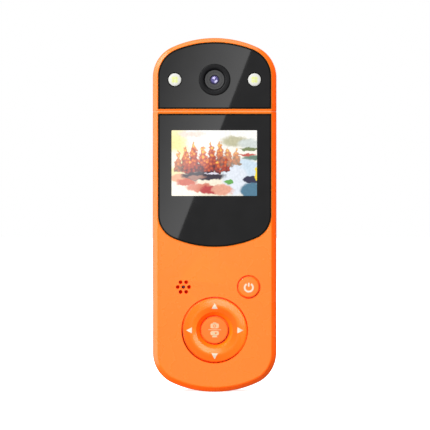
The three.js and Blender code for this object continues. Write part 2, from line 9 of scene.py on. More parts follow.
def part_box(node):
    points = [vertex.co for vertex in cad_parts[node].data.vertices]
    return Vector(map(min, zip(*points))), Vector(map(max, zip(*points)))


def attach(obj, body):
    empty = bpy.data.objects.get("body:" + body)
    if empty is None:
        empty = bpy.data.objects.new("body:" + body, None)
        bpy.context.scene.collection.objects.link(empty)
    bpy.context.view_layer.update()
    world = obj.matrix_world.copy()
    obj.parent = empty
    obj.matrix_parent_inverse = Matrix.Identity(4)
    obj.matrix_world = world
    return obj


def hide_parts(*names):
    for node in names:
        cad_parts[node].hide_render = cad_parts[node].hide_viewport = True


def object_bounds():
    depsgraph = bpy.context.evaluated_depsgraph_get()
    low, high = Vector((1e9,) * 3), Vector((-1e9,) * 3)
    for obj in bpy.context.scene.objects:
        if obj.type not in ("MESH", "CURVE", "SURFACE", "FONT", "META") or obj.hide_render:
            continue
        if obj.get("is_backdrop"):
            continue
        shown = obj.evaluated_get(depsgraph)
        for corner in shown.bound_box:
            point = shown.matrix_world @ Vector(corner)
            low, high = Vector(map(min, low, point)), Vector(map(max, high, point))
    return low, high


# The looks of a pocket action camera: an orange case with a head that turns, black windows, a lit display,
# a round four-way key with an OK key in its middle, a power key, sound holes, and a sprung clip behind.
# Pieces are drawn in millimetres with y = 0 in the middle of the case, y < 0 in front and z = 0 at its
# lowest point. in_frame() takes them to metres in the CAD model's frame.

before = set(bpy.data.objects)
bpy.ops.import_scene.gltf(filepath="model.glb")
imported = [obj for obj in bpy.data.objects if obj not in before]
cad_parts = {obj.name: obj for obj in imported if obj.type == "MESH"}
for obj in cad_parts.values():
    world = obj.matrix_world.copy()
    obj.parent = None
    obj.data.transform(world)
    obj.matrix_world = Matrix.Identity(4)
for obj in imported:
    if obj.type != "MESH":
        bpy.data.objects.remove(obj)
scene = bpy.context.scene
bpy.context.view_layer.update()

# ---- Driving dimensions, in millimetres ----
MM = 0.001
FRONT = -7.0
BACK = 7.0
CASE = {"half": 16.0, "low": 0.0, "high": 91.6, "crown": 26.6, "corner": 8.6}
BEVEL = {"width": 1.6, "soft": 0.5, "side": 0.35}
WALL = 1.2
FRONT_WALL = 1.6
BACK_WALL = 1.4
# The seam between the case and the head, how much each is rounded there, and where their hollows end.
BODY_TOP = 72.4
HEAD_BOTTOM = 72.68
SEAM_EDGE = 0.12
HEAD_EDGE = 0.1
BODY_ROOM = (0, 71)
HEAD_ROOM = (74.1, 95)
HUB_RADIUS = 4.3
# Spans that reach through the walls at the seam, on the left and on the right.
THROUGH_SEAM, THROUGH_LEFT, THROUGH_RIGHT = (69, 76), (-18, -12), (12, 18)
# The windows: a seal fills the gap round each, and round the seal lies a burnt orange ring of painted shade.
WINDOW = {"half": 14.6, "crown": 26.8, "corner": 6.5}
SCREEN_WINDOW = {"low": 37.58, "high": 71.9, "high_dome": False}
HEAD_WINDOW = {"low": 73.17, "high": 90.38, "corner": 7.5, "low_dome": False}
WINDOW_GAP = 0.26
SHADE_RING_WIDTH = 0.2
PICTURE = {"half_width": 11.0, "half_height": 8.44, "corner": 0.15, "across": -0.1, "up": -0.06}
# The keys: the four-way key's face falls both ways from its crest, and ends at RIM and BREAK.
NAV_RADIUS = 8.24
CREST = 6.2
RIM = 8.04
BREAK = 4.75
BOWL = {"edge": BREAK - 0.005, "fall": 1.1, "lip": 3.86, "bore": 3.76}
OK_RADIUS = 3.44
OK_FACE = -7.1
POWER_RADIUS = 2.68
# The gap round a key or a screw's head, and the low ledge that narrows it.
RUN = 0.32
COLLAR = 0.21
LEDGE = -6.4
# How far printed marks stand out, and the sound holes: six in a ring round a seventh.
INK = 0.03
SOUND = {"ring": 1.45, "hole": 0.49}
# The clip's pin, the knuckles round it, the bracket's two ears and the spring.
PIN_RADIUS = 0.75
KNUCKLE = 1.75
EAR = (5.9, 7.6)
COIL_RADIUS, COIL_HALF, COIL_TURNS = 1.2, 2.28, 8
WIRE = 0.2
LEG = 6
# The clip's arm, measured from its pin: half widths, then back and forth, then up and down.
ARM_HALF, HINGE_HALF = 6.5, 5.5
ARM_INNER, ARM_FACE, ARM_BACK, TOOTH = 0.3, 1.6, 1.8, -2.05
ARM_TOP, JAW = 9.5, -34.5
TEETH = 12
CONTACTS = 8

shell_low, shell_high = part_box("body_front_shell")
ORIGIN = Vector(((shell_low.x + shell_high.x) / 2, shell_low.y - FRONT * MM, shell_low.z))


def box_mm(node):
    """The lowest and highest corner of a CAD node, in the millimetres that pieces are drawn in."""
    low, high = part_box(node)
    return (low - ORIGIN) / MM, (high - ORIGIN) / MM


def centre_mm(node):
    low, high = box_mm(node)
    return (low + high) / 2


def front_view(node):
    """Where the middle of a CAD node is across and up, as seen from the front."""
    middle = centre_mm(node)
    return middle.x, middle.z


# ---- Materials ----
def srgb(red, green, blue):
    """A linear colour from the 0 to 255 values that a screen shows."""
    def linear(value):
        value /= 255
        return value / 12.92 if value <= 0.04045 else ((value + 0.055) / 1.055) ** 2.4
    return (linear(red), linear(green), linear(blue), 1)


def scaled(colour, factor):
    return tuple(min(1.0, channel * factor) for channel in colour[:3]) + (1,)


class Tree:
    """A node tree with short calls for the nodes that the materials share."""

    def __init__(self, owner):
        owner.use_nodes = True
        self.tree = owner.node_tree
        self.tree.nodes.clear()

    def node(self, kind, inputs=(), **settings):
        made = self.tree.nodes.new("ShaderNode" + kind)
        for key, value in settings.items():
            setattr(made, key, value)
        for key, value in dict(inputs).items():
            self.put(made.inputs[key], value)
        return made

    def put(self, socket, value):
        if isinstance(value, bpy.types.NodeSocket):
            self.tree.links.new(value, socket)
        else:
            socket.default_value = value

    def math(self, operation, first, second=0.0):
        return self.node("Math", {0: first, 1: second}, operation=operation).outputs[0]

    def plus(self, first, second):
        return self.math("ADD", first, second)

    def minus(self, first, second):
        return self.math("SUBTRACT", first, second)

    def times(self, first, second):
        return self.math("MULTIPLY", first, second)

    def over(self, first, second):
        return self.math("DIVIDE", first, second)

    def squares(self, first, second):
        return self.plus(self.times(first, first), self.times(second, second))

    def between(self, value, low, high, out_low=0.0, out_high=1.0, kind="SMOOTHSTEP"):
        names = ("Value", "From Min", "From Max", "To Min", "To Max")
        inputs = dict(zip(names, (value, low, high, out_low, out_high)))
        return self.node("MapRange", inputs, interpolation_type=kind).outputs[0]

    def mix(self, share, first, second):
        return self.node("Mix", {0: share, 6: first, 7: second}, data_type="RGBA").outputs[2]

    def mix_value(self, share, first, second):
        return self.node("Mix", {0: share, 2: first, 3: second}).outputs[0]

    def noise(self, place, scale, detail=2.0):
        inputs = {"Vector": place, "Scale": scale, "Detail": detail}
        return self.node("TexNoise", inputs).outputs["Fac"]

    def place(self):
        return self.node("TexCoord").outputs["Object"]

    def split(self, vector):
        return self.node("SeparateXYZ", {0: vector}).outputs

    def from_middle(self, node, place):
        """How far across and up a place is from the middle of a CAD node."""
        middle = centre_mm(node) * MM + ORIGIN
        x, _, z = self.split(place)
        return self.minus(x, middle.x), self.minus(z, middle.z)

    def output(self, shader, kind="OutputMaterial"):
        self.node(kind, {"Surface": shader.outputs[0]})

    def principled(self, inputs):
        self.output(self.node("BsdfPrincipled", inputs))


def new_material(name):
    material = bpy.data.materials.new(name)
    return material, Tree(material)


def surface(name, colour, rough, vary=0.06, rough_vary=0.05, grain=0.2, depth=0.002, wear=0.0, specular=0.5,
            metallic=0.0):
    """A moulded, coated or metal surface: mottled colour, uneven gloss and a fine grain, in millimetres.
    wear lightens the colour along the edges."""
    material, tree = new_material(name)
    place = tree.place()
    mottle = tree.noise(place, 0.22 / MM, 3)
    fine = tree.noise(place, 1 / (grain * MM), 2)
    base = tree.mix(tree.between(mottle, 0.3, 0.7), scaled(colour, 1 - vary), scaled(colour, 1 + vary))
    gloss = tree.between(mottle, 0.25, 0.75, rough - rough_vary, rough + rough_vary)
    if wear:
        pointed = tree.node("NewGeometry").outputs["Pointiness"]
        share = tree.times(tree.between(pointed, 0.52, 0.62, 0, wear), fine)
        base = tree.mix(share, base, scaled(colour, 1.6))
    bump = tree.node("Bump", {"Height": fine, "Distance": depth * MM, "Strength": 0.6})
    tree.principled({"Base Color": base, "Roughness": gloss, "Normal": bump.outputs[0],
                     "Specular IOR Level": specular, "Metallic": metallic})
    return material


ORANGE = (0.94, 0.100, 0.0026, 1)
KEY_SKIN = {"vary": 0.012, "rough_vary": 0.03, "grain": 0.14, "depth": 0.001}
# Each finish as (colour, roughness, what else differs from the usual).
FINISHES = {
    "orange": (ORANGE, 0.27, {**KEY_SKIN, "vary": 0.015, "depth": 0.0015, "wear": 0.25}),
    "orange_key": (ORANGE, 0.26, KEY_SKIN),
    "orange_ring": (ORANGE, 0.26, {**KEY_SKIN, "specular": 0.25}),
    # The same orange darkened for the OK key: painted shade.
    "orange_ok_shaded": (scaled(ORANGE, 0.87), 0.3, KEY_SKIN),
    "window": ((0.0025, 0.0025, 0.0027), 0.02,
               {"vary": 0.2, "rough_vary": 0.006, "depth": 0, "specular": 0.23}),
    "black_plastic": ((0.009, 0.009, 0.01), 0.5,
                      {"vary": 0.12, "grain": 0.12, "depth": 0.004, "specular": 0.35}),
    "bezel": ((0.0065, 0.0065, 0.007), 0.5, {"vary": 0.12, "grain": 0.12, "depth": 0.003, "specular": 0.18}),
    "gasket": ((0.004, 0.0035, 0.003), 0.7, {"vary": 0.1, "specular": 0.1}),
    # A darker orange for the ring round each window: painted shade at the mouth of the recess.
    "shade_ring": ((0.3, 0.08, 0.006), 0.6, {"vary": 0.05, "specular": 0.1}),
    # A pale orange for the plate in the seam: a painted highlight line.
    "seam_highlight": ((0.95, 0.18, 0.05), 0.4, {"vary": 0.02, "grain": 0.12}),
    "grey_barrel": ((0.026, 0.026, 0.0265), 0.42, {"vary": 0.08, "grain": 0.1}),
    "steel": ((0.36, 0.365, 0.375), 0.32, {"grain": 0.08, "wear": 0.3, "metallic": 0.75}),
    "dark_steel": ((0.12, 0.12, 0.13), 0.36, {"grain": 0.08, "wear": 0.6, "metallic": 1.0}),
    "circuit_board": ((0.012, 0.10, 0.038), 0.4, {"vary": 0.15}),
    "chip": ((0.012, 0.012, 0.013), 0.55, {"vary": 0.15}),
    "cell": ((0.5, 0.51, 0.53), 0.4, {"metallic": 0.7, "grain": 0.3, "depth": 0.01}),
    "rubber": ((0.017, 0.017, 0.018), 0.75, {"vary": 0.2, "grain": 0.1, "depth": 0.008}),
    "flex": ((0.46, 0.13, 0.012), 0.35, {"vary": 0.1}),
    "contact": ((0.62, 0.42, 0.13), 0.3, {"vary": 0.1, "grain": 0.1, "metallic": 0.85}),
    "cream": ((0.385, 0.345, 0.27), 0.5, {"vary": 0.02, "grain": 0.1}),
    "peach": ((0.385, 0.27, 0.155), 0.5, {"vary": 0.02, "grain": 0.1}),
    # Dark red for the backing behind the sound holes: painted shade inside the holes.
    "mesh": ((0.2, 0.003, 0.0005), 0.8, {"vary": 0.2, "grain": 0.06, "depth": 0.01, "specular": 0.0}),
}
materials = {name: surface(name, colour, rough, **more) for name, (colour, rough, more) in FINISHES.items()}

# Painted reflections in the coated lens, as (across, up, half width, half height, turn, colour), in
# millimetres.
LENS_PAINTED_REFLECTIONS = [
    (-0.2, 0.42, 0.46, 0.34, 0.5, (196, 188, 240)),
    (0.34, -0.42, 0.5, 0.28, 0.8, (214, 210, 246)),
    (-0.3, 0.0, 0.34, 0.13, -0.7, (34, 34, 78)),
    (0.18, 0.16, 0.13, 0.3, -0.2, (40, 38, 86)),
]


def lens_material():
    """Coated glass: a violet core with painted reflections, pale glints and two dark streaks, and a dark
    rim.
    """
    material, tree = new_material("lens_glass")
    across, up = tree.from_middle("lens_glass", tree.place())
    radius = tree.math("SQRT", tree.squares(across, up))
    base = tree.mix(tree.between(radius, 0.5 * MM, 1.0 * MM), srgb(104, 96, 158), srgb(70, 66, 104))
    # Each spot mixed into the base colour here is a painted reflection.
    for at_x, at_z, wide, tall, turn, tint in LENS_PAINTED_REFLECTIONS:
        side = tree.minus(across, at_x * MM)
        rise = tree.minus(up, at_z * MM)
        u = tree.plus(tree.times(side, cos(turn)), tree.times(rise, sin(turn)))
        v = tree.minus(tree.times(rise, cos(turn)), tree.times(side, sin(turn)))
        away = tree.squares(tree.over(u, wide * MM), tree.over(v, tall * MM))
        base = tree.mix(tree.between(away, 1.5, 0.4), base, srgb(*tint))
    dimmed = tree.mix(0.5, base, (0, 0, 0, 1))
    tree.principled({"Base Color": dimmed, "Roughness": 0.08, "Coat Weight": 0.5, "Coat Roughness": 0.02,
                     "IOR": 1.5})
    return material


def lamp_material(node):
    """A white lamp whose four phosphor spots show through its frosted top."""
    material, tree = new_material(node)
    spot_offset = 0.36 * MM
    across, up = tree.from_middle(node, tree.place())
    side = tree.minus(tree.math("ABSOLUTE", across), spot_offset)
    rise = tree.minus(tree.math("ABSOLUTE", up), spot_offset)
    spots = tree.between(tree.math("SQRT", tree.squares(side, rise)), 0.75 * MM, 0.08 * MM)
    base = tree.mix(spots, (0.34, 0.34, 0.32, 1), (0.335, 0.36, 0.11, 1))
    rough = tree.between(tree.noise(tree.place(), 2 / MM), 0, 1, 0.2, 0.4)
    tree.principled({"Base Color": base, "Roughness": rough, "Coat Weight": 0.6, "Coat Roughness": 0.05})
    return material


# The lit picture is a made-up landscape: autumn woods by a lake, with rocks in front. Each patch is
# (across, up, half width, half height, softness, colour), in millimetres from the middle of the display.
FAR_PATCHES = [
    (-3.0, 8.6, 15.0, 3.4, 0.6, (255, 253, 248)),
    (-10.4, 3.0, 3.4, 6.5, 0.9, (255, 238, 158)),
    (-10.6, 1.0, 1.9, 2.2, 0.8, (255, 250, 230)),
    (-5.8, 7.4, 3.6, 0.8, 0.9, (250, 222, 210)),
    (5.4, 5.6, 3.6, 1.3, 0.6, (196, 192, 158)),
    (9.2, 5.0, 3.0, 1.2, 0.6, (212, 220, 216)),
    (9.0, 3.6, 2.6, 0.42, 0.6, (118, 132, 84)),
    (8.4, 2.1, 2.2, 0.38, 0.5, (200, 86, 74)),
    (9.4, 1.3, 2.2, 0.6, 0.6, (104, 134, 116)),
    (7.4, -2.6, 5.6, 3.6, 0.3, (208, 226, 240)),
    (5.4, -4.6, 3.4, 4.0, 0.5, (230, 236, 246)),
]
NEAR_PATCHES = [
    (10.0, -4.4, 2.9, 1.0, 0.25, (26, 24, 64)),
    (9.8, -7.2, 3.2, 2.1, 0.3, (72, 120, 146)),
    (11.0, -2.9, 0.6, 1.7, 0.35, (252, 224, 44)),
    (-8.0, -7.2, 5.4, 2.6, 0.4, (255, 249, 232)),
    (-9.0, -3.9, 2.4, 1.1, 0.4, (242, 176, 138)),
    (-7.2, -5.0, 2.6, 0.9, 0.5, (208, 96, 70)),
    (-3.0, -3.4, 5.6, 1.1, 0.3, (40, 26, 48)),
    (-4.8, -3.8, 2.2, 0.5, 0.6, (166, 118, 104)),
    (-0.6, -2.7, 1.8, 0.22, 0.4, (226, 222, 236)),
    (-3.6, -6.4, 3.6, 1.1, 0.4, (220, 130, 104)),
    (-1.2, -7.0, 2.6, 1.1, 0.4, (190, 62, 62)),
    (2.0, -6.9, 2.8, 1.3, 0.4, (234, 166, 140)),
    (3.6, -5.0, 1.1, 0.5, 0.4, (100, 170, 78)),
]
# Trees, from the far ones to the near ones, as (across, foot, half width, height).
TREES = [
    (5.6, -0.6, 1.5, 4.6), (3.4, -1.0, 1.7, 5.4), (-9.4, -2.4, 1.4, 5.6), (1.4, -1.6, 1.8, 7.4),
    (-7.4, -2.6, 1.8, 7.2), (-0.8, -2.2, 1.7, 8.0), (-5.4, -2.6, 1.9, 8.2), (-3.0, -2.6, 2.0, 7.0),
    (2.8, -2.4, 1.4, 4.2), (-6.6, -2.8, 1.5, 4.6), (-1.6, -2.8, 1.6, 4.8), (0.8, -2.8, 1.3, 3.6),
]


def picture_material():
    material, tree = new_material("display")
    place = tree.place()
    ripple = tree.node("TexNoise", {"Vector": place, "Scale": 0.8 / MM, "Detail": 5.0})
    shift_x, shift_z, _ = tree.split(ripple.outputs["Color"])
    across, up = tree.from_middle("display_panel", place)
    across = tree.plus(across, tree.times(tree.minus(shift_x, 0.5), 2.2 * MM))
    up = tree.plus(up, tree.times(tree.minus(shift_z, 0.5), 1.6 * MM))
    leaves = tree.node("TexVoronoi", {"Vector": place, "Scale": 1.3 / MM}).outputs["Distance"]

    def layered(colour, patches):
        for patch_x, patch_z, wide, tall, soft, tint in patches:
            u = tree.over(tree.minus(across, patch_x * MM), wide * MM)
            v = tree.over(tree.minus(up, patch_z * MM), tall * MM)
            inside = tree.between(tree.squares(u, v), 1 + soft, 1 - soft)
            colour = tree.mix(inside, colour, srgb(*tint))
        return colour

    def planted(colour, at, foot, half, height, haze):
        """A tree with a pointed, leafy crown, gold at the top and maroon at the foot."""
        rise = tree.over(tree.minus(up, foot * MM), height * MM)
        reach = tree.math("SQRT", tree.math("MAXIMUM", tree.minus(1.0, rise), 0.0))
        side = tree.math("ABSOLUTE", tree.over(tree.minus(across, at * MM), half * MM))
        crown = tree.minus(tree.minus(reach, side), tree.times(leaves, 0.35))
        inside = tree.times(tree.between(crown, -0.12, 0.1), tree.between(rise, -0.02, 0.06))
        shade = tree.minus(1.0, tree.times(rise, tree.plus(crown, 0.55)))
        shade = tree.plus(shade, tree.times(tree.minus(leaves, 0.4), 0.6))
        leaf = tree.mix(tree.between(shade, 0.2, 0.55), srgb(255, 206, 84), srgb(224, 104, 42))
        leaf = tree.mix(tree.between(shade, 0.5, 0.8), leaf, srgb(172, 60, 38))
        leaf = tree.mix(tree.between(shade, 0.8, 1.05), leaf, srgb(92, 22, 36))
        return tree.mix(inside, colour, tree.mix(haze, leaf, srgb(250, 226, 180)))

    colour = tree.mix(tree.between(up, -8 * MM, 8 * MM), srgb(250, 240, 214), srgb(255, 253, 246))
    colour = layered(colour, FAR_PATCHES)
    for i, (at, foot, half, height) in enumerate(TREES):
        colour = planted(colour, at, foot, half, height, 0.3 * max(0.0, 1 - i / 5))
    colour = layered(colour, NEAR_PATCHES)
    glow = tree.between(tree.noise(place, 1.6 / MM, 3), 0.3, 0.7, 0.93, 1.07)
    tree.principled({"Base Color": (0.004, 0.004, 0.004, 1), "Roughness": 0.05, "Emission Color": colour,
                     "Emission Strength": glow})
    return material


materials["lens_glass"] = lens_material()
materials["display"] = picture_material()


# ---- Meshes ----
def mesh_object(name, points, faces):
    mesh = bpy.data.meshes.new(name)
    mesh.from_pydata([tuple(p) for p in points], [], faces)
    made = bpy.data.objects.new(name, mesh)
    scene.collection.objects.link(made)
    tidy(mesh)
    return made


def tidy(mesh):
    """Welds what meets, drops what has no area and turns every face outward."""
    work = bmesh.new()
    work.from_mesh(mesh)
    bmesh.ops.remove_doubles(work, verts=work.verts, dist=1e-4)
    bmesh.ops.dissolve_degenerate(work, edges=work.edges, dist=1e-5)
    bmesh.ops.recalc_face_normals(work, faces=work.faces)
    work.to_mesh(mesh)
    work.free()


def loft(name, rings, ends=True):
    """A solid through rings of the same number of points, with flat ends."""
    count = len(rings[0])
    points = [p for one in rings for p in one]
    faces = [tuple(range(count)), tuple(range(len(points) - count, len(points)))] if ends else []
    for start in range(0, len(points) - count, count):
        for i in range(count):
            j = (i + 1) % count
            faces.append((start + i, start + j, start + count + j, start + count + i))
    return mesh_object(name, points, faces)


def stacked(name, outline, levels):
    """A solid through an outline's insets, at (inset, y) levels."""
    return loft(name, [[(x, y, z) for x, z in outline(inset)] for inset, y in levels])


# How (u, v, w) of a drawing become x, y and z: w runs along the axis.
AXES = {"X": lambda u, v, w: (w, u, v), "Y": lambda u, v, w: (u, w, v), "Z": lambda u, v, w: (u, v, w)}


def turned(name, profile, at=(0, 0), axis="Y", steps=96, closed=False):
    """A profile of (radius, distance along the axis) turned round the axis; closed makes it a ring."""
    to_space = AXES[axis]
    rows = profile + profile[:1] if closed else profile
    turns = circle(0, 0, 1, steps)
    rings = [[to_space(at[0] + radius * u, at[1] + radius * v, along) for u, v in turns]
             for radius, along in rows]
    return loft(name, rings, ends=False)


def plug(name, radius, low, high, at=(0, 0), axis="Y", steps=96):
    """A plain cylinder from low to high along an axis."""
    return turned(name, [(0, low), (radius, low), (radius, high), (0, high)], at, axis, steps)


def prism(name, loops, low, high, axis="Y"):
    """A flat shape of one outer loop and its holes, given thickness along an axis."""
    to_space = AXES[axis]
    flat = [[Vector((u, v, 0)) for u, v in one] for one in loops]
    corners = [p for one in flat for p in one]
    count = len(corners)
    points = [to_space(p.x, p.y, level) for level in (low, high) for p in corners]
    faces = []
    for triangle in tessellate_polygon(flat):
        faces.append(tuple(triangle))
        faces.append(tuple(count + i for i in reversed(triangle)))
    start = 0
    for one in flat:
        for i in range(len(one)):
            a, b = start + i, start + (i + 1) % len(one)
            faces.append((a, b, count + b, count + a))
        start += len(one)
    return mesh_object(name, points, faces)


def joined(name, pieces):
    """Several drawn pieces as one."""
    points, faces = [], []
    for piece in pieces:
        start = len(points)
        points += [v.co.copy() for v in piece.data.vertices]
        faces += [tuple(start + i for i in face.vertices) for face in piece.data.polygons]
        bpy.data.objects.remove(piece)
    return mesh_object(name, points, faces)


def arc(x, z, radius, first, last, steps):
    angles = (first + (last - first) * i / steps for i in range(steps + 1))
    return [(x + radius * cos(a), z + radius * sin(a)) for a in angles]


def circle(x, z, radius, steps=48):
    return arc(x, z, radius, 0, tau, steps)[:-1]


def domed(half, low, high, crown, corner, inset=0.0, low_dome=True, high_dome=True, steps=20):
    """An outline with a shallow dome at one end or at both, moved inward by inset."""
    across = half - corner
    rise = sqrt((crown - corner) ** 2 - across ** 2)
    turn = atan2(across, rise)
    small, large = corner - inset, crown - inset
    points = []
    for end, way, start, dome in ((low, -1, pi, low_dome), (high, 1, 0, high_dome)):
        if dome:
            middle, z = start + pi / 2, end - way * (crown - rise)
            points += arc(way * across, z, small, start, middle - turn, steps)
            points += arc(0, end - way * crown, large, middle - turn, middle + turn, 2 * steps)[1:-1]
            points += arc(-way * across, z, small, middle + turn, start + pi, steps)
        else:
            side, z = way * (half - inset), end - way * inset
            points += [(side, z), (-side, z)]
    return points


def rounded(half_u, half_v, corner, at=(0, 0), steps=8):
    """A rectangle with round corners."""
    u, v = half_u - corner, half_v - corner
    points = []
    for i, (su, sv) in enumerate(((1, 1), (-1, 1), (-1, -1), (1, -1))):
        points += arc(at[0] + su * u, at[1] + sv * v, corner, i * pi / 2, (i + 1) * pi / 2, steps)
    return points


def bend(points, control, last, steps=8):
    """Goes on from the last of the points with a quadratic curve."""
    first = points[-1]
    for i in range(1, steps + 1):
        t = i / steps
        parts = zip(first, control, last)
        points.append(tuple((1 - t) ** 2 * a + 2 * t * (1 - t) * b + t * t * c for a, b, c in parts))


def wire(name, path, radius, sides=10):
    """A round wire along a path."""
    rings = []
    across = None
    for before, point, after in zip([path[0]] + path[:-1], path, path[1:] + [path[-1]]):
        along = (after - before).normalized()
        across = along.orthogonal() if across is None else across - along * across.dot(along)
        across.normalize()
        other = along.cross(across)
        rings.append([point + radius * (cos(a) * across + sin(a) * other)
                      for a in (tau * i / sides for i in range(sides))])
    return loft(name, rings)


def combined(target, others, operation="DIFFERENCE"):
    """The target with the other solids cut away, added or kept; the others are used up."""
    for other in others:
        step = target.modifiers.new("combine", "BOOLEAN")
        step.operation, step.solver, step.object = operation, "EXACT", other
    applied(target)
    for other in others:
        bpy.data.objects.remove(other)
    return target


def applied(target):
    graph = bpy.context.evaluated_depsgraph_get()
    mesh = bpy.data.meshes.new_from_object(target.evaluated_get(graph))
    target.modifiers.clear()
    target.data = mesh
    tidy(mesh)


def softened(piece, edge):
    """The piece with its sharp edges rounded."""
    rounding = piece.modifiers.new("edge", "BEVEL")
    rounding.width, rounding.segments, rounding.angle_limit = edge, 3, radians(35)
    applied(piece)
    return piece


def in_frame(piece, body, material, nodes=(), sharp=40.0):
    """Takes a finished piece to the CAD frame, gives it its finish and ties it to its CAD body."""
    piece.data.transform(Matrix.Translation(ORIGIN) @ Matrix.Scale(MM, 4))
    piece.data.shade_smooth()
    piece.data.set_sharp_from_angle(angle=radians(sharp))
    weigh = piece.modifiers.new("normals", "WEIGHTED_NORMAL")
    weigh.keep_sharp, weigh.weight = True, 90
    piece.data.materials.clear()
    piece.data.materials.append(materials[material] if isinstance(material, str) else material)
    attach(piece, body)
    if nodes:
        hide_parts(*nodes)


# ---- Case ----
def edge_profile(steps=5):
    """(inset, depth, tilt) along the case's edge, from its flat face to its side."""
    half_turn = sin(pi / 4)
    first = BEVEL["soft"] / half_turn
    second = BEVEL["side"] / (1 - half_turn)
    tilts = [pi / 4 * i / steps for i in range(2 * steps + 1)]
    face_edge = [(BEVEL["width"] - first * sin(tilt), first * (1 - cos(tilt)), tilt)
                 for tilt in tilts[:steps + 1]]
    slope_end = face_edge[-1][1] + BEVEL["width"] - BEVEL["soft"] - BEVEL["side"]
    side_depth = slope_end + second * half_turn
    side_edge = [(second * (1 - sin(tilt)), side_depth - second * cos(tilt), tilt) for tilt in tilts[steps:]]
    return face_edge + side_edge


EDGE = edge_profile()


def stick(name, levels):
    """A solid through the case's outline at (inset, y) levels."""
    return stacked(name, lambda inset: domed(**CASE, inset=inset), levels)


def section(offset):
    """The case's cross-section, in X and Y, grown by offset."""
    quarter = [(CASE["half"] - inset + offset * sin(tilt), BACK - depth + offset * cos(tilt))
               for inset, depth, tilt in EDGE]
    right = [(x, -y) for x, y in quarter] + [(x, y) for x, y in reversed(quarter)]
    return right + [(-x, -y) for x, y in right]


def end_limit(name, z, inward, edge):
    """What is left of the long case at one end of the seam, with a small rounding all round.
    inward is the way into the piece, 1 or -1 along Z."""
    steps = ((-edge, 0), (-0.45 * edge, 0.2 * edge), (0.45 * edge, 1.8 * edge), (0.45 * edge, 120))
    return loft(name, [[(x, y, z + inward * along) for x, y in section(offset)] for offset, along in steps])


def outer_levels(sign):
    """From the parting line, with a fine groove, to the flat front (sign -1) or back (sign 1)."""
    groove = [(0.16, 0.02), (0.07, 0.06), (0.0, 0.2)]
    face = [(inset, BACK - depth) for inset, depth, _ in reversed(EDGE)]
    return [(inset, sign * y) for inset, y in groove + face]


def cavity(name, sign, low, high):
    """The hollow behind the front (sign -1) or the back (sign 1), between two heights."""
    floor = BACK - (FRONT_WALL if sign < 0 else BACK_WALL)
    corner = 0.6
    levels = [(WALL, -sign * 0.5), (WALL, sign * (floor - corner)), (WALL + corner, sign * floor)]
    room = prism(name + "_room", [[(-20, low), (20, low), (20, high), (-20, high)]], -9, 9)
    return combined(stick(name, levels), [room], "INTERSECT")


def window_outline(span, inset):
    return domed(**{**WINDOW, **span}, inset=inset)


def recess(name, span):
    """The cutter for a window's recess, with a small rounding at its mouth and room for the ring of painted
    shade.
    """
    levels = ((-0.5, FRONT - 0.4), (-0.12, FRONT - 0.02), (-0.03, FRONT + 0.05), (0.0, FRONT + 0.14),
              (0.0, FRONT + 1))
    return stacked(name, lambda inset: window_outline(span, inset - SHADE_RING_WIDTH), levels)


def bore(name, radius, at, flare=0.12, steps=96):
    """The cutter for a round hole through the front, with a small rounding at its mouth."""
    profile = [(0, FRONT - 0.4), (radius + flare * 4, FRONT - 0.4), (radius + flare, FRONT - 0.01),
               (radius + flare * 0.3, FRONT + flare * 0.3), (radius, FRONT + flare), (radius, FRONT + 3),
               (0, FRONT + 3)]
    return turned(name, profile, at, steps=steps)


def hub_hole(name):
    """The hole for the swivel's hub, through the end of a hollow."""
    return plug(name, HUB_RADIUS, *THROUGH_SEAM, axis="Z", steps=48)


def screw_way(screw):
    """The cutter for a case or head screw's hole, with a seat for its head."""
    low, high = box_mm(screw)
    radius = (high.x - low.x) / 2 + RUN
    profile = [(0, 0), (0.8, 0), (0.8, 5.8), (radius, 5.8), (radius, 6.85), (radius + 0.15, 7),
               (radius + 0.5, 7.4), (0, 7.4)]
    return turned(screw + "_way", profile, front_view(screw), steps=48)


# Each body's seam as (height, way into the piece, rounding, lowest and highest point of its hollow).
SEAMS = {"case": (BODY_TOP, -1, SEAM_EDGE, BODY_ROOM), "head": (HEAD_BOTTOM, 1, HEAD_EDGE, HEAD_ROOM)}


def shell(name, body, sign, cutters):
    """The front (sign -1) or back (sign 1) of the case or of the head."""
    seam, inward, edge, room = SEAMS[body]
    limit = end_limit(name + "_limit", seam, inward, edge)
    made = combined(stick(name, outer_levels(sign)), [limit], "INTERSECT")
    combined(made, [cavity(name + "_inside", sign, *room)] + cutters)
    in_frame(made, body, "orange", [name + "_shell"])


SIDES = ("left", "right")
SCREWS = {"case": [f"case_screw_{end}_{side}" for end in ("upper", "lower") for side in SIDES],
          "head": [f"head_screw_{side}" for side in SIDES]}

nav_at = front_view("nav_ring")
power_at = front_view("power_button")
lens_at = front_view("lens_bezel")
lamps = {side: front_view("lamp_" + side) for side in SIDES}
display_x, display_z = front_view("display_panel")
speaker_x, speaker_z = front_view("speaker")
card = centre_mm("memory_card")
reset = centre_mm("reset_button")
port = centre_mm("usb_port_shell")
port_half = box_mm("usb_port_shell")[1] - port

